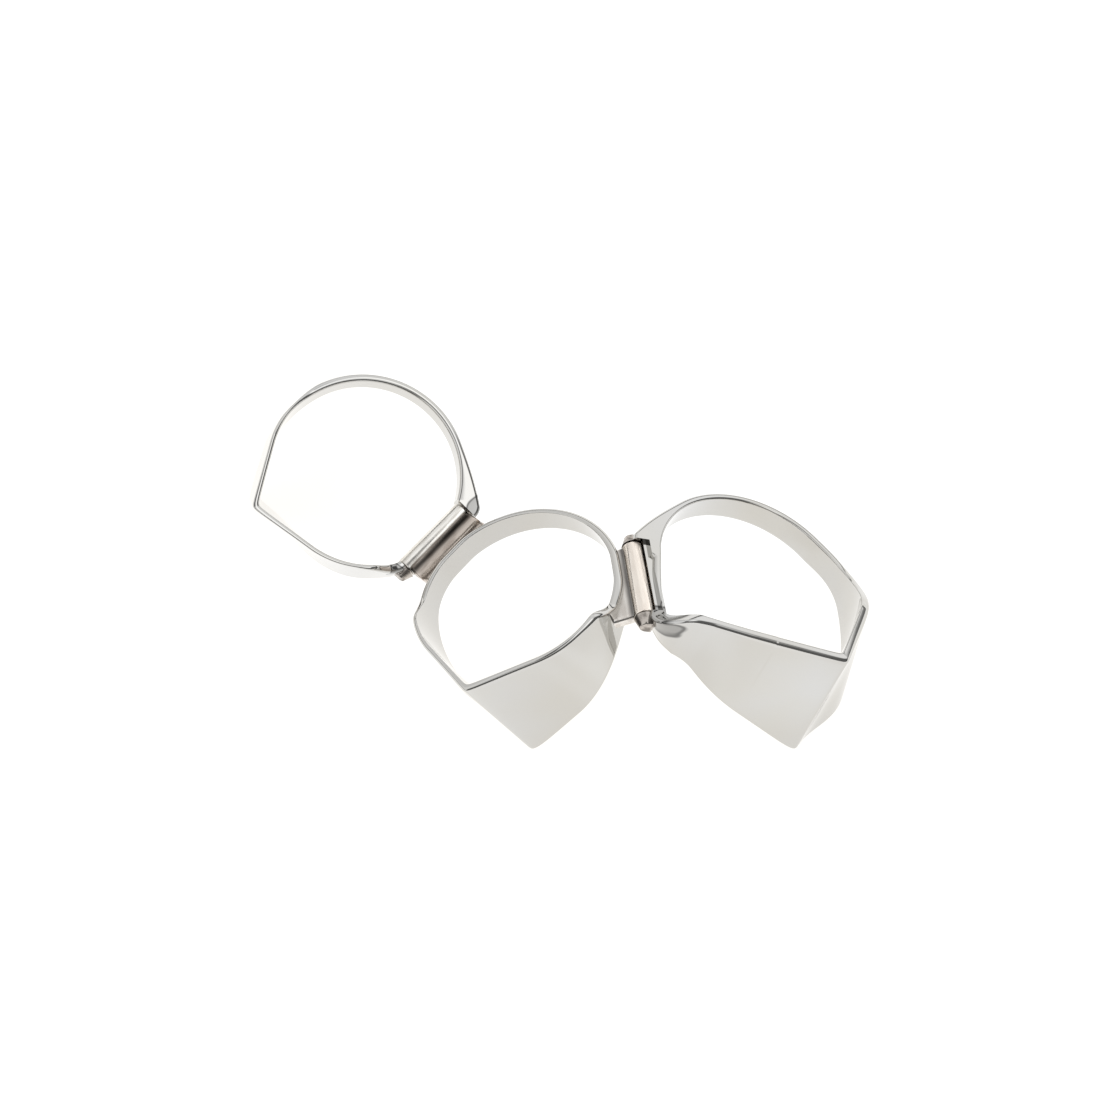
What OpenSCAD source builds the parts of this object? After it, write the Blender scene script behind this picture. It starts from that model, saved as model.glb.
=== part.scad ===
// Articulated knuckle ring: three finger bands, each pinched into a beaked plate,
// joined side by side by two barrel hinges. Millimetres, +Z up, resting on z = 0.
// Each band is drawn about its own finger axis: local +Z is the near side of the
// finger opening, and angles start at the corner of the beak.

/* [Finger openings] */
// Inner diameter of the left band
left_bore_d = 17.2; // [15:0.1:19]
// Inner diameter of the middle band
middle_bore_d = 17.6; // [15:0.1:20]
// Inner diameter of the right band
right_bore_d = 18; // [15:0.1:20]

/* [Band] */
// Wall of the band away from the beak
wall = 0.7; // [0.6:0.05:1]
// Width of the band along the finger
band_w = 2.6; // [2.2:0.1:3.4]
// Rounding of the rim edges
edge_r = 0.2; // [0.1:0.05:0.25]

/* [Beak] */
// Distance of the corner from the finger axis, in inner radii
corner_reach = 1.21; // [1.12:0.01:1.25]
// Wall of the beak at its near rim
beak_wall = 0.8; // [0.8:0.05:1.2]
// Length of the left beak below the near rim of the band
left_beak_len = 10; // [7:0.1:13]
// Length of the middle beak below the near rim of the band
middle_beak_len = 10.4; // [7:0.1:13]
// Length of the right beak below the near rim of the band
right_beak_len = 10.4; // [7:0.1:13]
// Height of the left and middle beaks above the near rim of the band
near_step = 2.3; // [1:0.1:2.6]
// Height of the right beak above the near rim of the band
right_near_step = 2.9; // [1:0.1:3.2]
// How much lower a beak is at its steps than at its corner
near_fall = 0.5; // [0:0.1:1]
// Rise of the far rim for each millimetre away from the corner
rim_rise = 0.61; // [0.45:0.01:0.65]
// Rounding of the beak's tip
tip_r = 1.0; // [0.5:0.1:2]
// Sideways lean of the left beak over its length
left_lean = -2.6; // [-3:0.1:3]
// Inward lean of the left beak over its length
left_tuck = 1.3; // [-2:0.1:3]
// Sideways lean of the middle beak over its length
middle_lean = 1; // [-3:0.1:3]
// Inward lean of the middle beak over its length
middle_tuck = 1.9; // [-2:0.1:3]
// Sideways lean of the right beak over its length
right_lean = 1.5; // [-3:0.1:3]
// Inward lean of the right beak over its length
right_tuck = -0.8; // [-2:0.1:3]
// Outward flare of the right beak's free facet over its length
right_flare = 2.8; // [0:0.1:3]

/* [Hinges] */
// Angle from the corner of a beak to the middle of a hinge side
hinge_angle = 116; // [114:0.5:121]
// Diameter of the barrels and the ears
barrel_d = 1.9; // [1.7:0.1:2.1]
// Length of the barrels
barrel_len = 7.6; // [6.5:0.1:8]
// Gap between the barrel and each ear
ear_gap = 0.12; // [0.08:0.01:0.2]
// Length of each ear along the pin
ear_len = 1; // [0.9:0.05:1.2]
// Diameter of the outer end of a tapered ear
ear_tip_d = 1.3; // [1.2:0.1:1.6]
// Diameter of the pin
pin_d = 0.9; // [0.7:0.05:1]
// Radial clearance of the pin in the barrel
pin_clearance = 0.04; // [0.02:0.01:0.08]
// Gap between the right barrel and the band behind it
barrel_gap = 0.15; // [0.1:0.05:0.3]
// Distance of the left pin from the round of the left band
left_fork_reach = 0; // [-0.1:0.05:0.5]
// Distance of the left pin from the round of the middle band
left_barrel_reach = 3.75; // [3.3:0.05:4]
// Distance of the right pin from the round of the right band
right_fork_reach = 2.02; // [1.9:0.02:2.4]
// Distance of the right pin from the round of the middle band
right_barrel_reach = 1.72; // [1.7:0.02:2.4]
// Shift of the left barrel along its pin toward the corners
left_slide = -0.3; // [-0.5:0.1:0.5]
// Shift of the right barrel along its pin toward the corners
right_slide = 1.6; // [0:0.1:1.8]
// Thickness of the neck along the finger
neck_t = 1.2; // [1:0.1:1.8]
// Height of the pin below the near rim of the band
pin_drop = 1.28; // [1:0.02:1.5]
// Thickness that the shoulders beside the ears add to the left band
left_shoulder_t = 1.6; // [1.3:0.05:1.8]
// Thickness that the shoulders beside the ears add to the right band
right_shoulder_t = 1.9; // [1.7:0.05:2]

/* [Pose] */
// Fold of the left hinge away from the flat chain
left_fold = -42; // [-60:1:60]
// Fold of the right hinge away from the flat chain
right_fold = 40; // [-60:1:60]
// Turns of the middle band about X, Y and Z that stand the chain on its tips
rest_turn = [22.36, -8.72, -107.99]; // [-180:0.01:180]
// Place of the middle finger opening once the chain stands on its tips
rest_place_at = [-2.492, -5.202, 10.186]; // [-10:0.001:12]

/* [Hidden] */

fine = 48;
stations = 116;
corner_share = 0.42;
corner_half = acos(1 / corner_reach);
ridge_soft = 1.4;
square_soft = 2.2;
flat_reach = 40;
square_depth = 5;
flare_rise = 32;
flare_end = 70;
rim_soft = 0.9;
beak_full = 30;
beak_fade = 60;
shoulder_rise = 0.9;
corner_fade = 1.6;
corner_curve = 1.6;
pin_end = 0.2;
slot_deep = 8;
web_deep = 2.6;
corner_web = 0.6;
seat_back = 0.5;
seat_wall = 0.5;
seat_up = 0.9;
seat_in_ear = 0.1;
dish_deep = 0.4;
dish_least = 1;
ear_in = barrel_len / 2 + ear_gap;
ear_out = ear_in + ear_len;
bore_run = 2 * ear_out + 1;
pin_half = ear_out - pin_end;

// Columns of a side: hinge, angle of its step and the run of its slope, depth of
// the flat that it cuts into the round, shift of the hinge along its pin, angle of
// the straight that squares its corner with the beak, thickness that its shoulders
// add and their share on the corner's side of the hinge, fall toward its step,
// flare. A hinge is NONE, BARREL or FORK.
HINGE = 0; STEP = 1; RUN = 2; FLAT = 3; SLIDE = 4; SQUARE = 5; THICK = 6; CARRY = 7; FALL = 8;
FLARE = 9;
NONE = 0; BARREL = 1; FORK = 2;
left_free = [NONE, 58, 40, 0, 0, 0, 0, 0, near_fall, 0];
left_hinged = [FORK, 80, 18, 0.9, left_slide, 0, left_shoulder_t, 0.1, near_fall, 0];
middle_left = [BARREL, 70, 26, 0.1, left_slide, 0, 0, 0, near_fall, 0];
middle_right = [BARREL, 82, 18, 0.1, right_slide, 0, 0, 0, near_fall, 0];
right_hinged = [FORK, 80, 18, 0, right_slide, 126, right_shoulder_t, 0.3, 0, 0];
right_free = [NONE, 60, 44, 0, 0, 0, 0, 0, near_fall, right_flare];

// Columns of a band: inner radius, side at negative angles, side at positive
// angles, height and length of the beak above and below the band's near rim,
// lean, tuck
R = 0; MINUS = 1; PLUS = 2; RISE = 3; LEN = 4; LEAN = 5; TUCK = 6;
left_band = [left_bore_d / 2, left_free, left_hinged,
             near_step, left_beak_len, left_lean, left_tuck];
middle_band = [middle_bore_d / 2, middle_left, middle_right,
               near_step, middle_beak_len, middle_lean, middle_tuck];
right_band = [right_bore_d / 2, right_hinged, right_free,
              right_near_step, right_beak_len, right_lean, right_tuck];

function smooth(x) = let (t = min(1, max(0, x))) t * t * (3 - 2 * t);
function soft_max(a, b, k) = (a + b + sqrt((a - b) * (a - b) + k * k)) / 2;
function side_at(band, phi) = phi < 0 ? band[MINUS] : band[PLUS];

// Radius of a round outline whose two tangents meet in a softened corner
function outline(phi, r) =
    let (a = sqrt(phi * phi + ridge_soft * ridge_soft))
    a < corner_half ? r / cos(corner_half - a) : r;

// Length along the band from the middle of the hinge, positive away from the corner
function from_hinge(band, phi) =
    (abs(phi) - hinge_angle) * PI / 180 * band[R] + side_at(band, phi)[SLIDE];

// Radius where the tangent of the beak's facet meets the hinge side in a corner
function squared(phi, r, line) =
    let (a = abs(phi))
    a < corner_half ? outline(phi, r) :
    a < line ? -soft_max(-r / cos(min(a - corner_half, 80)), -r / cos(min(line - a, 80)), square_soft) :
    r;

// A squared side is round again deep down the beak
function round_with_flat(band, phi, grow, z) =
    let (side = side_at(band, phi), off = abs(abs(phi) - hinge_angle),
         share = 1 - smooth(-z / square_depth),
         r = outline(phi, band[R] + grow),
         flatted = side[HINGE] == NONE || off > flat_reach ? r
                 : min(r, (band[R] + grow - side[FLAT]) / cos(off)))
    side[SQUARE] == 0 ? flatted
                      : (1 - share) * r + share * squared(phi, band[R] + grow, side[SQUARE]);

// The shoulders carry the ears of a fork. From the barrel's end back they run straight
// to the round of the band, and on the corner's side they fade beside the ear.
function shoulder(band, phi) =
    let (u = from_hinge(band, phi), side = side_at(band, phi),
         rise = smooth((abs(u) - ear_in + 2 * shoulder_rise) / shoulder_rise),
         back = max(0, u - ear_in) / sqrt(2 * (band[R] + wall) * max(side[THICK], 1)),
         run = max(0, -u - ear_out) / corner_fade)
    rise * side[THICK] * (u > 0 ? pow(max(0, 1 - back), 2)
                                : side[CARRY] * pow(max(0, 1 - run), corner_curve));

function beak_share(phi) = 1 - smooth((abs(phi) - beak_full) / beak_fade);
function inner_radius(band, phi, z) = round_with_flat(band, phi, 0, z);
function outer_radius(band, phi, z) =
    round_with_flat(band, phi, wall + (beak_wall - wall) * beak_share(phi), z)
    + shoulder(band, phi);

function along_rim(band, phi) =
    let (a = abs(phi), r = band[R])
    a < corner_half ? r * (tan(corner_half) - tan(corner_half - a))
                    : r * (tan(corner_half) + (a - corner_half) * PI / 180);
function far_rim(band, phi) =
    let (d = along_rim(band, phi))
    -soft_max(band[LEN] - rim_rise * (sqrt(d * d + tip_r * tip_r) - tip_r), band_w, rim_soft);
function near_rim(band, phi) =
    let (side = side_at(band, phi), a = abs(phi))
    (band[RISE] - side[FALL] * min(1, a / side[STEP]))
    * (1 - smooth((a - side[STEP]) / side[RUN] + 0.5));

// One section through the wall, with its four edges rounded
function section(band, phi) =
    let (zn = near_rim(band, phi), zf = far_rim(band, phi), e = edge_r, c = 0.3 * edge_r,
         ri = inner_radius(band, phi, zn), ro = outer_radius(band, phi, zn),
         qi = inner_radius(band, phi, zf), qo = outer_radius(band, phi, zf))
    [[ri, zn - e], [ri + c, zn - c], [ri + e, zn],
     [ro - e, zn], [ro - c, zn - c], [ro, zn - e],
     [qo, zf + e], [qo - c, zf + c], [qo - e, zf],
     [qi + e, zf], [qi + c, zf + c], [qi, zf + e]];

function flare_share(a) = smooth(a / flare_rise) * (1 - smooth((a - flare_end) / flare_rise));
// Leans, tucks and flares the beak by the share of its length above a point
function leaned(band, phi, p) =
    let (depth = (band[RISE] - p[1]) / (band[RISE] + band[LEN]),
         share = depth * (abs(phi) < 90 ? pow(cos(phi), 2) : 0),
         rho = p[0] + side_at(band, phi)[FLARE] * depth * flare_share(abs(phi)))
    [rho * cos(phi) - band[TUCK] * share, rho * sin(phi) + band[LEAN] * share, p[1]];
function station_angle(i) =
    let (t = 2 * i / stations - 1)
    180 * (corner_share * t + (1 - corner_share) * pow(t, 3));

module band_shell(band) {
    points = [for (i = [0:stations - 1]) for (p = section(band, station_angle(i)))
        leaned(band, station_angle(i), p)];
    m = len(section(band, 0));
    faces = [for (i = [0:stations - 1]) for (j = [0:m - 1])
        let (i2 = (i + 1) % stations, j2 = (j + 1) % m,
             a = i * m + j, b = i * m + j2, c = i2 * m + j2, d = i2 * m + j)
        each [[a, c, b], [a, d, c]]];
    polyhedron(points, faces, convexity = 8);
}

// Frame of a hinge: X out of the band, Y along the pin, origin at the barrel's middle
module at_hinge(band, side, reach, slide) {
    rotate([0, 0, side * hinge_angle])
    translate([band[R] + reach, -side * slide, -pin_drop])
    children();
}
module along_pin(d, from, to) {
    translate([0, from, 0]) rotate([-90, 0, 0]) cylinder(d = d, h = to - from, $fn = fine);
}

// Keeps what is soldered on a band clear of the finger opening
module trimmed(band) {
    difference() {
        children();
        translate([0, 0, -band[LEN]])
            cylinder(r = band[R] + wall / 2, h = 2 * band[LEN], $fn = 2 * fine);
    }
}
// One tapered ear and its web, on the side of the barrel that the sign of end gives
module ear(end, web) {
    rotate([-90 * end, 0, 0]) translate([0, 0, ear_in])
        cylinder(d1 = barrel_d, d2 = ear_tip_d, h = ear_len, $fn = fine);
    translate([-web, end > 0 ? ear_in : -ear_out, -ear_tip_d / 2])
        cube([web, ear_len, ear_tip_d]);
}
// Hollow that a barrel beside the band turns in
module seat() {
    deep = barrel_d / 2 + barrel_gap + seat_wall;
    difference() {
        translate([-deep, -ear_in - seat_in_ear, -barrel_d / 2])
            cube([deep - seat_back, 2 * (ear_in + seat_in_ear), barrel_d / 2 + seat_up]);
        along_pin(barrel_d + 2 * barrel_gap, -ear_in, ear_in);
    }
}
// A fork whose barrel lies in the band itself is cut right through. Beside a squared
// corner the web is short, so that it stays within the wall.
module fork(band, side, reach, slide) {
    through = reach < barrel_d;
    slot_out = through ? -web_deep : -barrel_d / 2 - barrel_gap;
    difference() {
        union() {
            difference() {
                band_shell(band);
                at_hinge(band, side, reach, slide)
                    translate([slot_out, -ear_in, -slot_deep])
                    cube([slot_deep, 2 * ear_in, 2 * slot_deep]);
            }
            trimmed(band) at_hinge(band, side, reach, slide) {
                ear(side, web_deep);
                ear(-side, through ? web_deep : corner_web);
                if (!through) seat();
            }
        }
        at_hinge(band, side, reach, slide) along_pin(pin_d, -pin_half, pin_half);
    }
}

// Neck from the pin back into the band, dished where it spans a gap
module neck(reach) {
    deep = reach + web_deep;
    span = reach - wall - barrel_d / 2;
    dish_r = (span * span / 4 + dish_deep * dish_deep) / (2 * dish_deep);
    difference() {
        translate([-deep, -barrel_len / 2, -neck_t / 2]) cube([deep, barrel_len, neck_t]);
        if (span > dish_least)
            translate([-(barrel_d + span) / 2, 0, neck_t / 2 - dish_deep + dish_r])
            along_pin(2 * dish_r, -bore_run / 2, bore_run / 2);
    }
}
// A barrel on the neck that joins it to its own band
module barrel(band, side, reach, slide) {
    difference() {
        trimmed(band) at_hinge(band, side, reach, slide) {
            along_pin(barrel_d, -barrel_len / 2, barrel_len / 2);
            neck(reach);
        }
        at_hinge(band, side, reach, slide)
            along_pin(pin_d + 2 * pin_clearance, -bore_run / 2, bore_run / 2);
    }
}

module hinge_pin(band, side, reach, slide) {
    at_hinge(band, side, reach, slide) along_pin(pin_d, -pin_half, pin_half);
}

// Moves a neighbour from its own frame to that of the band that it hangs on
module joined(band, reach, side, other, other_reach, fold) {
    rotate([0, 0, side * hinge_angle])
    translate([band[R] + reach, 0, -pin_drop])
    rotate([0, fold, 0])
    translate([other[R] + other_reach, 0, pin_drop])
    rotate([0, 0, 180 + side * hinge_angle])
    children();
}
module left_place() {
    joined(middle_band, left_barrel_reach, -1, left_band, left_fork_reach, left_fold) children();
}
module right_place() {
    joined(middle_band, right_barrel_reach, 1, right_band, right_fork_reach, right_fold) children();
}
module rest_place() {
    translate(rest_place_at) rotate(rest_turn) children();
}

module left_ring() {
    color("silver") rest_place() left_place()
        fork(left_band, 1, left_fork_reach, left_slide);
}
module middle_ring() {
    color("silver") rest_place() {
        band_shell(middle_band);
        barrel(middle_band, -1, left_barrel_reach, left_slide);
        barrel(middle_band, 1, right_barrel_reach, right_slide);
    }
}
module right_ring() {
    color("silver") rest_place() right_place()
        fork(right_band, -1, right_fork_reach, right_slide);
}
module left_pin() {
    color("lightgray") rest_place() left_place()
        hinge_pin(left_band, 1, left_fork_reach, left_slide);
}
module right_pin() {
    color("lightgray") rest_place() right_place()
        hinge_pin(right_band, -1, right_fork_reach, right_slide);
}

left_ring();
middle_ring();
right_ring();
left_pin();
right_pin();
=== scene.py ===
"""Articulated knuckle ring in polished silver, on a white studio floor."""
import math
from collections import namedtuple

import bpy
import numpy as np
from mathutils import Matrix, Vector


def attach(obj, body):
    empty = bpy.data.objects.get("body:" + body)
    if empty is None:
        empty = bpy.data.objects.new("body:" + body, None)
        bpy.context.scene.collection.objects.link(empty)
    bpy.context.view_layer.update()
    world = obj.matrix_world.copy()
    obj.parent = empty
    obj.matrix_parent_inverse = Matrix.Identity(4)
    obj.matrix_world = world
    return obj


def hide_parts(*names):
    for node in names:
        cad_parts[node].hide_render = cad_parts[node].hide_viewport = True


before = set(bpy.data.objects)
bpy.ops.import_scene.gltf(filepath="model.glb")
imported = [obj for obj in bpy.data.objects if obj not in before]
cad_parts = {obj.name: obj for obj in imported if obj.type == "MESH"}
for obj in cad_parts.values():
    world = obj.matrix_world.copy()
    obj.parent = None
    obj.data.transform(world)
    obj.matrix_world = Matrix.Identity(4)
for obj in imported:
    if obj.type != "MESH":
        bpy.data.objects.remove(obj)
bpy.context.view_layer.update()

MM = 0.001

# Sizes of the bands and beaks in millimetres, angles in degrees
WALL = 0.7
BEAK_WALL = 0.8
BAND_W = 2.6
RIM_RISE = 0.61
TIP_R = 1.0
CORNER_HALF = math.degrees(math.acos(1 / 1.21))
HINGE_ANGLE = 116
RIDGE_SOFT = 1.4
SQUARE_SOFT = 2.2
FLAT_REACH = 40
FLAT_SOFT = 0.06
SQUARE_DEPTH = 5
STEEPEST = 80
FLARE_RISE = 32
FLARE_END = 70
RIM_SOFT = 0.9
BEAK_FULL = 30
BEAK_FADE = 60

# Rounding of the far rims
EDGE_OUT = 0.3
EDGE_IN = 0.24

# Hinges, in millimetres
BARREL_D = 1.9
BARREL_LEN = 7.6
EAR_GAP = 0.12
EAR_LEN = 1
EAR_TIP_D = 1.3
BARREL_GAP = 0.15
PIN_D = 0.9
PIN_CLEARANCE = 0.04
PIN_DROP = 1.28
NECK_T = 1.2
NECK_ROUND = 0.4
END_ROUND = 0.12
WEB_DEEP = 2.6
CORNER_WEB = 0.6
SLOT_DEEP = 8
SEAT_BACK = 0.5
SEAT_WALL = 0.5
SEAT_UP = 0.9
SEAT_IN_EAR = 0.1
DISH_DEEP = 0.4
DISH_LEAST = 1
LEFT_SHOULDER_T = 1.6
RIGHT_SHOULDER_T = 1.86
SHOULDER_RISE = 0.9
CORNER_FADE = 1.6
CORNER_CURVE = 1.6
PIN_END = 0.2
EAR_ROUND = 0.2
EAR_IN = BARREL_LEN / 2 + EAR_GAP
EAR_OUT = EAR_IN + EAR_LEN
PIN_HALF = EAR_OUT - PIN_END
LEFT_FORK_REACH = 0
LEFT_BARREL_REACH = 3.75
RIGHT_FORK_REACH = 2.02
RIGHT_BARREL_REACH = 1.72
LEFT_SLIDE = -0.3
RIGHT_SLIDE = 1.6

# How the chain is folded and stands on its tips
LEFT_FOLD = -42
RIGHT_FOLD = 40
REST_TURN = (22.36, -8.72, -107.99)
REST_PLACE_AT = (-2.492, -5.202, 10.186)

# Angles over which a beak's thin near rim comes back to the band's wall
THIN_END = 60
THIN_FADE = 25
# How much of the thickness that comes back goes into the rim's outer rounding
ROUND_SHARE = 0.6

# How fine the visible meshes are
STATIONS = 464
EVEN_SHARE = 0.42
ARC_STEPS = 7
WALL_ROWS = 28
ROUND = 96
BEVEL_STEPS = 5
DISH_STEPS = 13
CREASE = 32

# Table of light: half its width in metres, its grey, its glow and the clouds in that
TABLE_HALF = 1.5
TABLE_GREY = 0.25
TABLE_ROUGHNESS = 0.9
TABLE_GLOW = 1.06
CLOUD_SCALE = 34
CLOUDS = [(0.35, (1.0, 1.0, 1.0)), (0.65, (0.87, 0.85, 0.815))]

# Camera of the photograph: place in millimetres, axes, sensor and lens in millimetres
EYE_AT = (2.54, -56.14, 148.02)
EYE_RIGHT = (0.999962, 0.003273, -0.008127)
EYE_UP = (-0.000076, 0.930793, 0.365547)
SENSOR = 36
LENS = 54.436
NEAREST = 0.01

# Light of the tent by the sine of the height, and by how near the camera is
TOWARDS_EYE = (0.0088, -0.3655, 0.9308)
TENT_HEIGHT = [(0.0, 0.1), (0.09, 0.2), (0.17, 1.0), (0.95, 1.0), (0.975, 0.6), (0.99, 0.15)]
TENT_OPENING = [(0.975, 1.0), (0.99, 0.1)]
# The dark room in front: where the tent ends there by height, and by direction
FRONT = (0.707, -0.707, 0)
FRONT_HEIGHT = [(0.68, 0.15), (0.84, 1.0)]
FRONT_WIDTH = [(0.2, 1.0), (0.4, 0.15)]
# Lighter and duller places of the tent: direction, cosines of its rim and core, level
PATCHES = [((0.374, 0.013, 0.927), 0.97, 0.99, 1.6),
           ((-0.51, 0.7, 0.5), 0.88, 0.97, 0.85),
           ((0.559, 0.798, 0.225), 0.9, 0.98, 1.18)]

# Polished silver, clean and aged: size of the ageing, haze and polishing marks
BRIGHT = (0.59, 0.587, 0.576)
AGED = (0.5841, 0.572325, 0.54144)
AGED_SCALE = 90
HAZE_SCALE = 260
HAZE_ROUGHNESS = (0.024, 0.06)
CLOUDY = (0.3, 0.7)
MARK_TURN = (0.4, 0.2, 0.7)
MARK_STRETCH = (1, 0.15, 1)
MARK_SCALE = 900
MARK_STRENGTH = 0.15
MARK_DEPTH = 0.00002

# Darker patches on the polished silver, each with a dark wandering edge: place and reach in metres
DARK_PATCHES = [((0.0106, -0.0086, 0.0152), 0.0027),
          ((-0.0064, 0.0053, 0.0046), 0.0017),
          ((-0.0136, -0.0012, 0.0046), 0.0014)]
# How bright it is there from the middle to the edge, and how far the edge wanders
DARK_PATCH_LEVELS = [(0, 0.6), (0.74, 0.56), (0.86, 0.22), (0.95, 1.0)]
DARK_PATCH_EDGE = 0.0016
DARK_PATCH_SCALE = 420

# Satin hinge silver in lit and shaded copies, light and dark tone of each place: pale barrels are
# painted highlights, brownish necks painted reflection, dark ears painted shade
NECK = ((0.64, 0.57, 0.51), (0.47, 0.405, 0.355))
LEFT_BARREL = ((0.9, 0.88, 0.84), (0.74, 0.71, 0.66))
RIGHT_BARREL = ((0.93, 0.86, 0.78), (0.88, 0.8, 0.72))
RIGHT_NECK = ((0.76, 0.73, 0.69), (0.64, 0.6, 0.56))
EAR = ((0.52, 0.48, 0.44), (0.24, 0.215, 0.195))
SEAT = ((0.7, 0.66, 0.6), (0.5, 0.46, 0.41))
# Painted shade and dark reflection in lines along a pin: place across it in its hinge's frame, width,
# how dark
LEFT_SHADE_LINES = [(-1.15, 0.35, 0.75, 0.05), (-3.05, 0.6, 0.22, 0.45)]
RIGHT_SHADE_LINES = [(-0.85, 0.6, 0.45, 0.25), (0.88, 0.4, 0.3, 0.4)]
# Grain of the tones: stretch in the hinge's frame, size, where dark turns to light
ALONG_PIN = (1.6, 0.3, 1.6)
BLOTCHED = (1, 0.7, 1)
GRAIN_SCALE = 1.5
GRAINY = (0.35, 0.62)
GRAIN_ROUGHNESS = (0.3, 0.14)
DENT_SCALE = 6
DENT_STRENGTH = 0.12
DENT_DEPTH = 0.00003

# One side of a band: what its hinge is, where and over what angle its near rim steps down,
# how flat it is by the hinge, how far the hinge slides, where a squared corner ends, the
# shoulder's thickness and share beyond the ears, the near rim's fall, the beak's flare
Side = namedtuple("Side", "hinge step run flat slide square thick carry fall flare")
# A band: its radius, its two sides, the near rim's rise, the beak's length, lean and tuck,
# the roundings of its near rim, how much thinner that rim is
Band = namedtuple("Band", "radius minus plus rise length lean tuck rim_in rim_out thin")
LEFT = Band(8.6, Side(None, 58, 40, 0, 0, 0, 0, 0, 0.5, 0),
            Side("fork", 80, 18, 0.9, LEFT_SLIDE, 0, LEFT_SHOULDER_T, 0.1, 0.5, 0),
            2.3, 10, -2.6, 1.3, 0.26, 0.12, 0.38)
MIDDLE = Band(8.8, Side("barrel", 70, 26, 0.1, LEFT_SLIDE, 0, 0, 0, 0.5, 0),
              Side("barrel", 82, 18, 0.1, RIGHT_SLIDE, 0, 0, 0, 0.5, 0),
              2.3, 10.4, 1, 1.9, 0.1, 0.34, 0.34)
RIGHT = Band(9, Side("fork", 80, 18, 0, RIGHT_SLIDE, 126, RIGHT_SHOULDER_T, 0.3, 0, 0),
             Side(None, 60, 44, 0, 0, 0, 0, 0, 0.5, 2.8),
             2.9, 10.4, 1.5, -0.8, 0.2, 0.34, 0)

# Materials by name, filled once the hinges have their places
SKINS = {}


def smooth(x):
    """Smooth step from 0 to 1 for values from 0 to 1."""
    t = np.clip(x, 0, 1)
    return t * t * (3 - 2 * t)


def soft_max(a, b, k):
    """The larger of two values, blended over k where they are near."""
    return (a + b + np.sqrt((a - b) ** 2 + k * k)) / 2


def cos_d(angle):
    """Cosine of an angle in degrees."""
    return np.cos(np.radians(angle))


def of_side(band, phi, column):
    """The column's value on the side of the band that each angle lies on."""
    return np.where(phi < 0, getattr(band.minus, column), getattr(band.plus, column))


def outline(phi, r):
    """Round outline whose two tangents meet in a softened corner."""
    a = np.sqrt(phi ** 2 + RIDGE_SOFT ** 2)
    return np.where(a < CORNER_HALF, r / cos_d(CORNER_HALF - a), r)


def squared(phi, r, line):
    """Radius where the tangent of the beak's facet meets a straight hinge side."""
    a = np.abs(phi)
    facet = r / cos_d(np.minimum(a - CORNER_HALF, STEEPEST))
    side = r / cos_d(np.minimum(line - a, STEEPEST))
    corner = -soft_max(-facet, -side, SQUARE_SOFT)
    return np.where(a < CORNER_HALF, outline(phi, r), np.where(a < line, corner, r))


def round_with_flat(band, phi, grow, z):
    """Radius of a band's wall, grown by some thickness, with its flats and squared corner."""
    r = outline(phi, band.radius + grow)
    off = np.abs(np.abs(phi) - HINGE_ANGLE)
    hinged = of_side(band, phi, "hinge") != np.array(None)
    cut = (band.radius + grow - of_side(band, phi, "flat")) / cos_d(np.minimum(off, FLAT_REACH))
    flatted = np.where(hinged & (off < FLAT_REACH), -soft_max(-r, -cut, FLAT_SOFT), r)
    line = of_side(band, phi, "square")
    share = 1 - smooth(-z / SQUARE_DEPTH)
    straight = (1 - share) * r + share * squared(phi, band.radius + grow, line)
    return np.where(line == 0, flatted, straight)


def shoulder(band, phi):
    """Thickness that carries the ears of a fork and runs straight back to the round."""
    u = np.radians(np.abs(phi) - HINGE_ANGLE) * band.radius + of_side(band, phi, "slide")
    thick = of_side(band, phi, "thick")
    rise = smooth((np.abs(u) - EAR_IN + 2 * SHOULDER_RISE) / SHOULDER_RISE)
    back = np.maximum(0, u - EAR_IN) / np.sqrt(2 * (band.radius + WALL) * np.maximum(thick, 1))
    run = np.maximum(0, -u - EAR_OUT) / CORNER_FADE
    behind = np.maximum(0, 1 - back) ** 2
    before = of_side(band, phi, "carry") * np.maximum(0, 1 - run) ** CORNER_CURVE
    return rise * thick * np.where(u > 0, behind, before)


def inner_radius(band, phi, z):
    """Radius of the finger opening."""
    return round_with_flat(band, phi, 0, z)


def outer_radius(band, phi, z):
    """Radius of the outside, thicker in the beak and at the ears."""
    beak = 1 - smooth((np.abs(phi) - BEAK_FULL) / BEAK_FADE)
    wall = WALL + (BEAK_WALL - WALL) * beak
    return round_with_flat(band, phi, wall, z) + shoulder(band, phi)


def far_rim(band, phi):
    """Height of the rim that runs down to the tip of the beak."""
    a = np.abs(phi)
    tangent = math.tan(math.radians(CORNER_HALF))
    on_facet = tangent - np.tan(np.radians(CORNER_HALF - np.minimum(a, CORNER_HALF)))
    on_round = tangent + np.radians(a - CORNER_HALF)
    d = band.radius * np.where(a < CORNER_HALF, on_facet, on_round)
    return -soft_max(band.length - RIM_RISE * (np.sqrt(d * d + TIP_R ** 2) - TIP_R), BAND_W, RIM_SOFT)


def near_rim(band, phi):
    """Height of the rim at the mouth of the beak."""
    a = np.abs(phi)
    step = of_side(band, phi, "step")
    height = band.rise - of_side(band, phi, "fall") * np.minimum(1, a / step)
    return height * (1 - smooth((a - step) / of_side(band, phi, "run") + 0.5))


def thinned(band, phi):
    """How much thinner a beak's wall is at its near rim than at its tip."""
    return band.thin * (1 - smooth((np.abs(phi) - THIN_END) / THIN_FADE))


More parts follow.
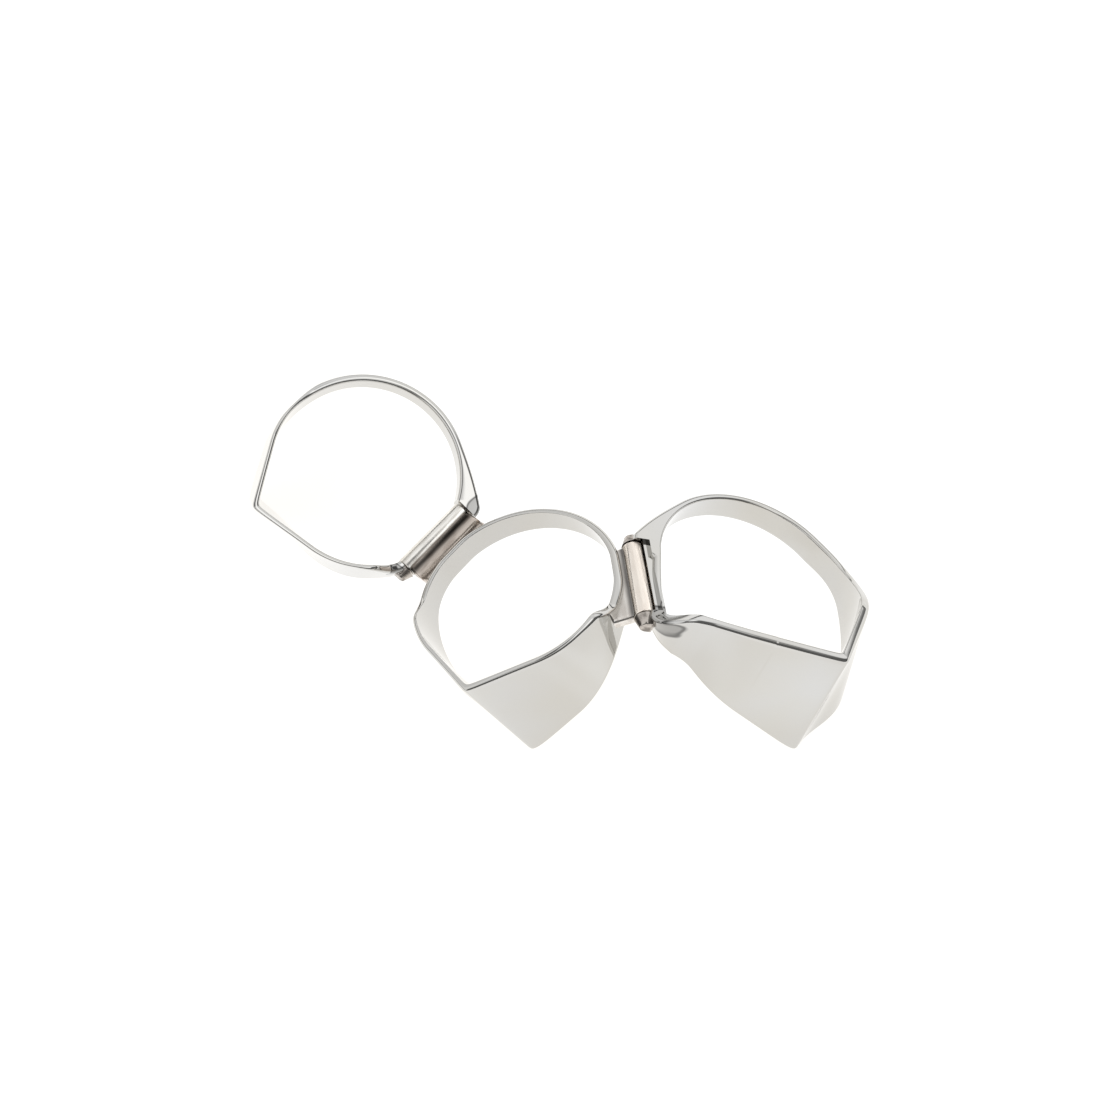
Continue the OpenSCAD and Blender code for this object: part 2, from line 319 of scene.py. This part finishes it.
def section(band, phi):
    """Radius and height round the wall's section, for all angles at once."""
    zn, zf = near_rim(band, phi), far_rim(band, phi)
    less = thinned(band, phi)
    ri, ro = inner_radius(band, phi, zn), outer_radius(band, phi, zn) - less
    e, c = band.rim_in, band.rim_out + ROUND_SHARE * (band.thin - less)
    qi, qo = inner_radius(band, phi, zf), outer_radius(band, phi, zf)
    points = []
    arc = np.linspace(0, math.pi / 2, ARC_STEPS)
    rows = np.linspace(0, 1, WALL_ROWS + 2)[1:-1]
    for t in arc:
        points.append((ri + e * (1 - math.cos(t)), zn - e * (1 - math.sin(t))))
    for t in arc[::-1]:
        points.append((ro - c * (1 - math.cos(t)), zn - c * (1 - math.sin(t))))
    for s in rows:
        top, low = zn - c, zf + EDGE_OUT
        points.append((ro + (qo - ro) * s, top + (low - top) * s))
    for t in arc:
        points.append((qo - EDGE_OUT * (1 - math.cos(t)), zf + EDGE_OUT * (1 - math.sin(t))))
    for t in arc[::-1]:
        points.append((qi + EDGE_IN * (1 - math.cos(t)), zf + EDGE_IN * (1 - math.sin(t))))
    for s in rows:
        low, top = zf + EDGE_IN, zn - e
        points.append((qi + (ri - qi) * s, low + (top - low) * s))
    return points


def leaned(band, phi, rho, z):
    """Leans, tucks and flares the beak by the share of its length above a point."""
    depth = (band.rise - z) / (band.rise + band.length)
    share = depth * np.where(np.abs(phi) < 90, cos_d(phi) ** 2, 0)
    a = np.abs(phi)
    flare = smooth(a / FLARE_RISE) * (1 - smooth((a - FLARE_END) / FLARE_RISE))
    rho = rho + of_side(band, phi, "flare") * depth * flare
    x = rho * np.cos(np.radians(phi)) - band.tuck * share
    y = rho * np.sin(np.radians(phi)) + band.lean * share
    return np.stack([x, y, z + 0 * x], axis=-1)


def station_angles():
    """Angles of the sections, closer together round the corner of the beak."""
    t = 2 * np.arange(STATIONS) / STATIONS - 1
    return 180 * (EVEN_SHARE * t + (1 - EVEN_SHARE) * t ** 3)


def band_mesh(band):
    """Points and faces of a whole band, as a closed loop of its sections."""
    phi = station_angles()
    rings = np.stack([leaned(band, phi, rho, z) for rho, z in section(band, phi)], axis=1)
    m = rings.shape[1]
    i, j = np.meshgrid(np.arange(STATIONS), np.arange(m), indexing="ij")
    i2, j2 = (i + 1) % STATIONS, (j + 1) % m
    quads = np.stack([i * m + j, i * m + j2, i2 * m + j2, i2 * m + j], axis=-1)
    return rings.reshape(-1, 3), quads.reshape(-1, 4)


def new_object(name, points, faces, place, skin="polished"):
    """A mesh object from points in millimetres, put in place."""
    mesh = bpy.data.meshes.new(name)
    mesh.from_pydata([place @ Vector(p) for p in points], [], [list(map(int, f)) for f in faces])
    for material in SKINS.values():
        mesh.materials.append(material)
    slot = list(SKINS).index(skin)
    for polygon in mesh.polygons:
        polygon.material_index = slot
    mesh.update()
    obj = bpy.data.objects.new(name, mesh)
    bpy.context.scene.collection.objects.link(obj)
    return obj


def turned(angle, axis):
    """Turn by degrees about an axis."""
    return Matrix.Rotation(math.radians(angle), 4, axis)


def moved(x, y, z):
    """Move in millimetres."""
    return Matrix.Translation((x, y, z))


def hinge_frame(band, side, reach, slide):
    """Frame of a hinge in its band: X out of the band, Y along the pin."""
    return turned(side * HINGE_ANGLE, "Z") @ moved(band.radius + reach, -side * slide, -PIN_DROP)


def joined(band, reach, side, other, other_reach, fold):
    """Place of a neighbour in the frame of the band that it hangs on."""
    return (turned(side * HINGE_ANGLE, "Z") @ moved(band.radius + reach, 0, -PIN_DROP)
            @ turned(fold, "Y") @ moved(other.radius + other_reach, 0, PIN_DROP)
            @ turned(180 + side * HINGE_ANGLE, "Z"))


def profile_along(outline_points, start, end, bevel):
    """Closed prism along Y over an outline in XZ, its end edges rounded."""
    outline_points = np.array(outline_points)
    middle = (outline_points.max(0) + outline_points.min(0)) / 2
    half = (outline_points.max(0) - outline_points.min(0)) / 2
    arc = np.linspace(0, math.pi / 2, BEVEL_STEPS) if bevel else [math.pi / 2]
    rounding = [(bevel * (1 - math.sin(t)), bevel * (1 - math.cos(t))) for t in arc]
    rings = [(start + depth, inset) for depth, inset in rounding[::-1]]
    rings += [(end - depth, inset) for depth, inset in rounding]
    points = []
    for y, inset in rings:
        shrink = 1 - inset / half.min()
        for x, z in (outline_points - middle) * shrink + middle:
            points.append((x, y, z))
    n = len(outline_points)
    faces = [[r * n + k, r * n + (k + 1) % n, (r + 1) * n + (k + 1) % n, (r + 1) * n + k]
             for r in range(len(rings) - 1) for k in range(n)]
    faces.append(list(range(n))[::-1])
    faces.append([(len(rings) - 1) * n + k for k in range(n)])
    return points, faces


def circle_outline(diameter):
    """Points of a circle in XZ."""
    t = np.linspace(0, 2 * math.pi, ROUND, endpoint=False)
    return np.stack([np.cos(t), -np.sin(t)], axis=-1) * diameter / 2


def box_outline(x0, x1, z0, z1):
    """Points of a rectangle in XZ."""
    return [(x1, z1), (x1, z0), (x0, z0), (x0, z1)]


def neck_outline(reach):
    """Bar from the pin back into the band, dished where it spans a gap."""
    top = NECK_T / 2
    points = box_outline(-reach - WEB_DEEP, 0, -top, top)
    span = reach - WALL - BARREL_D / 2
    if span > DISH_LEAST:
        dish_r = (span ** 2 / 4 + DISH_DEEP ** 2) / (2 * DISH_DEEP)
        for s in np.linspace(-span / 2, span / 2, DISH_STEPS):
            dip = math.sqrt(dish_r ** 2 - s ** 2) - dish_r + DISH_DEEP
            points.append((s - (BARREL_D + span) / 2, top - dip))
    return points


def ear_mesh(end):
    """One tapered ear, on the side of the barrel that the sign of end gives."""
    t = np.linspace(0, 2 * math.pi, ROUND, endpoint=False)
    arc = np.linspace(0, math.pi / 2, BEVEL_STEPS)
    rings = [(EAR_IN, BARREL_D / 2)]
    rings += [(EAR_OUT - EAR_ROUND * (1 - math.sin(a)), EAR_TIP_D / 2 - EAR_ROUND * (1 - math.cos(a)))
              for a in arc]
    points = [(r * math.cos(a), end * y, -end * r * math.sin(a)) for y, r in rings for a in t]
    faces = [[r * ROUND + k, r * ROUND + (k + 1) % ROUND,
              (r + 1) * ROUND + (k + 1) % ROUND, (r + 1) * ROUND + k]
             for r in range(len(rings) - 1) for k in range(ROUND)]
    faces.append(list(range(ROUND))[::-1])
    faces.append([(len(rings) - 1) * ROUND + k for k in range(ROUND)])
    return points, faces


def combine(obj, other, operation):
    """Joins or cuts two closed meshes and keeps the result in the first."""
    step = obj.modifiers.new(operation, "BOOLEAN")
    step.operation = operation
    step.solver = "MANIFOLD"
    step.object = other
    made = bpy.data.meshes.new_from_object(obj.evaluated_get(bpy.context.evaluated_depsgraph_get()))
    obj.modifiers.clear()
    old = obj.data
    made.name = old.name + "_made"
    obj.data = made
    bpy.data.meshes.remove(old)
    bpy.data.objects.remove(other)


def prism(name, place, outline_points, start, end, bevel=0.0, skin="polished"):
    """An object that runs along Y over an outline in XZ."""
    points, faces = profile_along(outline_points, start, end, bevel)
    return new_object(name, points, faces, place, skin)


def trimmed(obj, band, place):
    """Keeps what is soldered on a band clear of the finger opening."""
    clear = circle_outline(2 * band.radius + WALL)
    to_axis = place @ turned(90, "X")
    combine(obj, prism("clear", to_axis, clear, -band.length, band.length), "DIFFERENCE")


def seat(hinge):
    """Hollow that a barrel beside the band turns in."""
    back = box_outline(-BARREL_D / 2 - BARREL_GAP - SEAT_WALL, -SEAT_BACK, -BARREL_D / 2, SEAT_UP)
    piece = prism("seat", hinge, back, -EAR_IN - SEAT_IN_EAR, EAR_IN + SEAT_IN_EAR)
    hollow = circle_outline(BARREL_D + 2 * BARREL_GAP)
    combine(piece, prism("hollow", hinge, hollow, -EAR_IN, EAR_IN, skin="seat"), "DIFFERENCE")
    return piece


def finished(obj, node, body):
    """Brings a finished piece to metres and lets it stand for its solid."""
    obj.data.transform(Matrix.Scale(MM, 4))
    for polygon in obj.data.polygons:
        polygon.use_smooth = True
    obj.data.set_sharp_from_angle(angle=math.radians(CREASE))
    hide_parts(node)
    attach(obj, body)
    return obj


def fork_ring(name, band, place, side, reach, slide, body):
    """A band that carries two ears and is cut out between them."""
    points, faces = band_mesh(band)
    ring = new_object(name + "_silver", points, faces, place)
    hinge = place @ hinge_frame(band, side, reach, slide)
    through = reach < BARREL_D
    slot_out = -WEB_DEEP if through else -BARREL_D / 2 - BARREL_GAP
    slot = box_outline(slot_out, slot_out + SLOT_DEEP, -SLOT_DEEP, SLOT_DEEP)
    combine(ring, prism("slot", hinge, slot, -EAR_IN, EAR_IN), "DIFFERENCE")
    for end, deep in ((side, WEB_DEEP), (-side, WEB_DEEP if through else CORNER_WEB)):
        web = box_outline(-deep, 0, -EAR_TIP_D / 2, EAR_TIP_D / 2)
        ear = new_object("ear", *ear_mesh(end), hinge, "fork")
        start = EAR_IN if end > 0 else -EAR_OUT
        combine(ear, prism("web", hinge, web, start, start + EAR_LEN, END_ROUND, "fork"), "UNION")
        trimmed(ear, band, place)
        combine(ring, ear, "UNION")
    if not through:
        combine(ring, seat(hinge), "UNION")
    bore = prism("bore", hinge, circle_outline(PIN_D), -PIN_HALF, PIN_HALF)
    combine(ring, bore, "DIFFERENCE")
    return finished(ring, name, body)


def barrel_ring(name, band, place, hinges, body):
    """A band whose two necks end in the barrels."""
    points, faces = band_mesh(band)
    ring = new_object(name + "_silver", points, faces, place)
    for side, reach, slide, skin in hinges:
        hinge = place @ hinge_frame(band, side, reach, slide)
        half = BARREL_LEN / 2
        barrel = prism("barrel", hinge, circle_outline(BARREL_D), -half, half, END_ROUND, skin)
        neck = prism("neck", hinge, neck_outline(reach), -half, half, NECK_ROUND, skin + "_neck")
        combine(barrel, neck, "UNION")
        trimmed(barrel, band, place)
        bore = prism("bore", hinge, circle_outline(PIN_D + 2 * PIN_CLEARANCE), -EAR_OUT, EAR_OUT)
        combine(barrel, bore, "DIFFERENCE")
        combine(ring, barrel, "UNION")
    return finished(ring, name, body)


def link(tree, source, socket):
    """Joins an output to an input."""
    tree.links.new(source, socket)


def node(tree, kind, **settings):
    """A shader node with its properties set by name."""
    made = tree.nodes.new(kind)
    for key, value in settings.items():
        setattr(made, key, value)
    return made


def ramp(tree, source, stops):
    """Grey levels or colours along a value, from pairs of place and level."""
    made = node(tree, "ShaderNodeValToRGB")
    made.color_ramp.interpolation = "EASE"
    levels = made.color_ramp.elements
    while len(levels) < len(stops):
        levels.new(1.0)
    for level, (place, grey) in zip(levels, stops):
        level.position = place
        level.color = (*grey, 1) if isinstance(grey, tuple) else (grey, grey, grey, 1)
    link(tree, source, made.inputs["Fac"])
    return made.outputs["Color"]


def blended(tree, first, second, mode):
    """Two colours multiplied together, or the lighter of them in each channel."""
    made = node(tree, "ShaderNodeMix", data_type="RGBA", blend_type=mode)
    made.inputs["Factor"].default_value = 1.0
    link(tree, first, made.inputs["A"])
    link(tree, second, made.inputs["B"])
    return made.outputs["Result"]


def noise(tree, source, scale, detail):
    """Cloudy values from 0 to 1."""
    made = node(tree, "ShaderNodeTexNoise")
    made.inputs["Scale"].default_value = scale
    made.inputs["Detail"].default_value = detail
    link(tree, source, made.inputs["Vector"])
    return made.outputs["Fac"]


def spread(tree, source, start, end, low, high):
    """Values from start to end brought smoothly to those from low to high."""
    made = node(tree, "ShaderNodeMapRange", interpolation_type="SMOOTHSTEP")
    for key, value in zip(("From Min", "From Max", "To Min", "To Max"), (start, end, low, high)):
        made.inputs[key].default_value = value
    link(tree, source, made.inputs["Value"])
    return made.outputs["Result"]


def placed(tree, source, kind, place, turn, scale):
    """Coordinates mapped to another place, turn and scale."""
    made = node(tree, "ShaderNodeMapping", vector_type=kind)
    made.inputs["Location"].default_value = place
    made.inputs["Rotation"].default_value = turn
    made.inputs["Scale"].default_value = scale
    link(tree, source, made.inputs["Vector"])
    return made.outputs["Vector"]


def vector_step(tree, operation, source, value, output):
    """One step of arithmetic between coordinates and a fixed vector."""
    made = node(tree, "ShaderNodeVectorMath", operation=operation)
    made.inputs[1].default_value = value
    link(tree, source, made.inputs[0])
    return made.outputs[output]


def metal(name):
    """A metal's material, its node tree, its shader and its coordinates."""
    material = bpy.data.materials.new(name)
    material.use_nodes = True
    tree = material.node_tree
    shader = tree.nodes["Principled BSDF"]
    shader.inputs["Metallic"].default_value = 1.0
    return material, tree, shader, node(tree, "ShaderNodeTexCoord").outputs["Object"]


def bumped(tree, shader, height, strength, depth):
    """Gives a shader fine unevenness."""
    bump = node(tree, "ShaderNodeBump")
    bump.inputs["Strength"].default_value = strength
    bump.inputs["Distance"].default_value = depth
    link(tree, height, bump.inputs["Height"])
    link(tree, bump.outputs["Normal"], shader.inputs["Normal"])


def darkened_round(tree, coords, tone, place, reach):
    """Darkens a tone round a place, out to a dark and wandering edge."""
    uneven = node(tree, "ShaderNodeMath", operation="MULTIPLY_ADD")
    uneven.inputs[1].default_value = DARK_PATCH_EDGE
    link(tree, noise(tree, coords, DARK_PATCH_SCALE, 1), uneven.inputs[0])
    link(tree, vector_step(tree, "DISTANCE", coords, place, "Value"), uneven.inputs[2])
    start = DARK_PATCH_EDGE / 2
    near = spread(tree, uneven.outputs["Value"], start, start + reach, 0, 1)
    return blended(tree, tone, ramp(tree, near, DARK_PATCH_LEVELS), "MULTIPLY")


def polished_silver(name):
    """Polished silver with fine polishing marks, faint haze and slight tarnish."""
    material, tree, shader, coords = metal(name)
    haze = noise(tree, coords, HAZE_SCALE, 4)
    link(tree, spread(tree, haze, *CLOUDY, *HAZE_ROUGHNESS), shader.inputs["Roughness"])
    tone = ramp(tree, noise(tree, coords, AGED_SCALE, 2), list(zip(CLOUDY, (BRIGHT, AGED))))
    for place, reach in DARK_PATCHES:
        tone = darkened_round(tree, coords, tone, place, reach)
    link(tree, tone, shader.inputs["Base Color"])
    along = placed(tree, coords, "POINT", (0, 0, 0), MARK_TURN, MARK_STRETCH)
    bumped(tree, shader, noise(tree, along, MARK_SCALE, 3), MARK_STRENGTH, MARK_DEPTH)
    return material


def hinge_silver_painted_light(name, hinge, tones, shade_lines, stretch):
    """Satin silver of a hinge whose tone for its place is painted light, streaked along its pin, with
    painted shade and dark reflection in lines beside the pin.
    """
    material, tree, shader, coords = metal(name)
    local = placed(tree, coords, "TEXTURE", hinge.translation * MM, hinge.to_euler(), (MM, MM, MM))
    stretched = placed(tree, local, "POINT", (0, 0, 0), (0, 0, 0), stretch)
    grain = noise(tree, stretched, GRAIN_SCALE, 3)
    light, dark = tones
    # The place's light and dark tones are painted light, a lit and shaded copy of the silver, mixed
    # by the grain
    tone = ramp(tree, grain, list(zip(GRAINY, (dark, light))))
    across = vector_step(tree, "MULTIPLY", local, (1, 0, 1), "Vector")
    # Painted shade and dark reflection in lines beside the pin
    for x, z, width, level in shade_lines:
        far = vector_step(tree, "DISTANCE", across, (x, 0, z), "Value")
        tone = blended(tree, tone, spread(tree, far, 0, width, level, 1), "MULTIPLY")
    link(tree, tone, shader.inputs["Base Color"])
    link(tree, spread(tree, grain, *GRAINY, *GRAIN_ROUGHNESS), shader.inputs["Roughness"])
    bumped(tree, shader, noise(tree, local, DENT_SCALE, 2), DENT_STRENGTH, DENT_DEPTH)
    return material


def floor_of_light():
    """A glowing white table, so the ring casts hardly any shadow."""
    half = TABLE_HALF
    mesh = bpy.data.meshes.new("floor")
    mesh.from_pydata([(-half, -half, 0), (half, -half, 0), (half, half, 0), (-half, half, 0)],
                     [], [(0, 1, 2, 3)])
    table = bpy.data.objects.new("floor", mesh)
    bpy.context.scene.collection.objects.link(table)
    paper = bpy.data.materials.new("paper")
    paper.use_nodes = True
    tree = paper.node_tree
    shader = tree.nodes["Principled BSDF"]
    shader.inputs["Base Color"].default_value = (TABLE_GREY, TABLE_GREY, TABLE_GREY, 1)
    shader.inputs["Roughness"].default_value = TABLE_ROUGHNESS
    shader.inputs["Specular IOR Level"].default_value = 0.0
    shader.inputs["Emission Strength"].default_value = TABLE_GLOW
    coords = node(tree, "ShaderNodeTexCoord").outputs["Object"]
    glow = ramp(tree, noise(tree, coords, CLOUD_SCALE, 1), CLOUDS)
    link(tree, glow, shader.inputs["Emission Color"])
    table.data.materials.append(paper)


def facing(tree, coords, direction):
    """Cosine of the angle between each direction of the tent and this one."""
    return vector_step(tree, "DOT_PRODUCT", coords, direction, "Value")


def tent():
    """A bright tent, open to the dark room at its top, at its foot and round the camera.

    Past the table the picture itself shows plain white.
    """
    world = bpy.data.worlds.new("tent")
    bpy.context.scene.world = world
    world.use_nodes = True
    tree = world.node_tree
    coords = node(tree, "ShaderNodeTexCoord").outputs["Generated"]
    height = facing(tree, coords, (0, 0, 1))
    light = ramp(tree, height, TENT_HEIGHT)
    opening = ramp(tree, facing(tree, coords, TOWARDS_EYE), TENT_OPENING)
    front = blended(tree, ramp(tree, height, FRONT_HEIGHT),
                    ramp(tree, facing(tree, coords, FRONT), FRONT_WIDTH), "LIGHTEN")
    light = blended(tree, blended(tree, light, opening, "MULTIPLY"), front, "MULTIPLY")
    for direction, rim, core, level in PATCHES:
        patch = spread(tree, facing(tree, coords, direction), rim, core, 1, level)
        light = blended(tree, light, patch, "MULTIPLY")
    seen = node(tree, "ShaderNodeMix", data_type="RGBA")
    seen.inputs["B"].default_value = (1, 1, 1, 1)
    link(tree, node(tree, "ShaderNodeLightPath").outputs["Is Camera Ray"], seen.inputs["Factor"])
    link(tree, light, seen.inputs["A"])
    link(tree, seen.outputs["Result"], tree.nodes["Background"].inputs["Color"])


def camera_of_photo():
    """The camera of the photograph, whose frame is square."""
    scene = bpy.context.scene
    camera = bpy.data.cameras.new("camera")
    camera.sensor_width = SENSOR
    camera.lens = LENS
    camera.clip_start = NEAREST
    eye = bpy.data.objects.new("camera", camera)
    scene.collection.objects.link(eye)
    right, up = Vector(EYE_RIGHT), Vector(EYE_UP)
    back = right.cross(up)
    turn = Matrix((right, up, back)).transposed().to_4x4()
    eye.matrix_world = Matrix.Translation(Vector(EYE_AT) * MM) @ turn
    scene.camera = eye


# Places of the three rings and of the hinges' frames
x_turn, y_turn, z_turn = REST_TURN
rest = moved(*REST_PLACE_AT) @ turned(z_turn, "Z") @ turned(y_turn, "Y") @ turned(x_turn, "X")
left_place = rest @ joined(MIDDLE, LEFT_BARREL_REACH, -1, LEFT, LEFT_FORK_REACH, LEFT_FOLD)
right_place = rest @ joined(MIDDLE, RIGHT_BARREL_REACH, 1, RIGHT, RIGHT_FORK_REACH, RIGHT_FOLD)

left_barrel = rest @ hinge_frame(MIDDLE, -1, LEFT_BARREL_REACH, LEFT_SLIDE)
right_barrel = rest @ hinge_frame(MIDDLE, 1, RIGHT_BARREL_REACH, RIGHT_SLIDE)
right_fork = right_place @ hinge_frame(RIGHT, -1, RIGHT_FORK_REACH, RIGHT_SLIDE)

SKINS["polished"] = polished_silver("polished_silver")
# Each place of the hinges gets its own painted light: highlights on the barrels, reflection on the
# necks, shade on the ears
for skin, hinge, tones, shade_lines, stretch in (
        ("left", left_barrel, LEFT_BARREL, LEFT_SHADE_LINES, ALONG_PIN),
        ("left_neck", left_barrel, NECK, LEFT_SHADE_LINES, ALONG_PIN),
        ("right", right_barrel, RIGHT_BARREL, RIGHT_SHADE_LINES, ALONG_PIN),
        ("right_neck", right_barrel, RIGHT_NECK, RIGHT_SHADE_LINES, ALONG_PIN),
        ("seat", right_fork, SEAT, [], ALONG_PIN),
        ("fork", right_fork, EAR, [], BLOTCHED)):
    SKINS[skin] = hinge_silver_painted_light(skin + "_silver", hinge, tones, shade_lines, stretch)

fork_ring("left_ring", LEFT, left_place, 1, LEFT_FORK_REACH, LEFT_SLIDE, "left")
barrel_ring("middle_ring", MIDDLE, rest, ((-1, LEFT_BARREL_REACH, LEFT_SLIDE, "left"),
                                          (1, RIGHT_BARREL_REACH, RIGHT_SLIDE, "right")), "middle")
fork_ring("right_ring", RIGHT, right_place, -1, RIGHT_FORK_REACH, RIGHT_SLIDE, "right")

# The pins are the solids themselves, in the ears' darkened silver, which is painted shade
for pin in ("left_pin", "right_pin"):
    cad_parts[pin].data.materials.clear()
    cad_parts[pin].data.materials.append(SKINS["fork"])

bpy.context.scene.view_settings.view_transform = "Standard"
floor_of_light()
tent()
camera_of_photo()
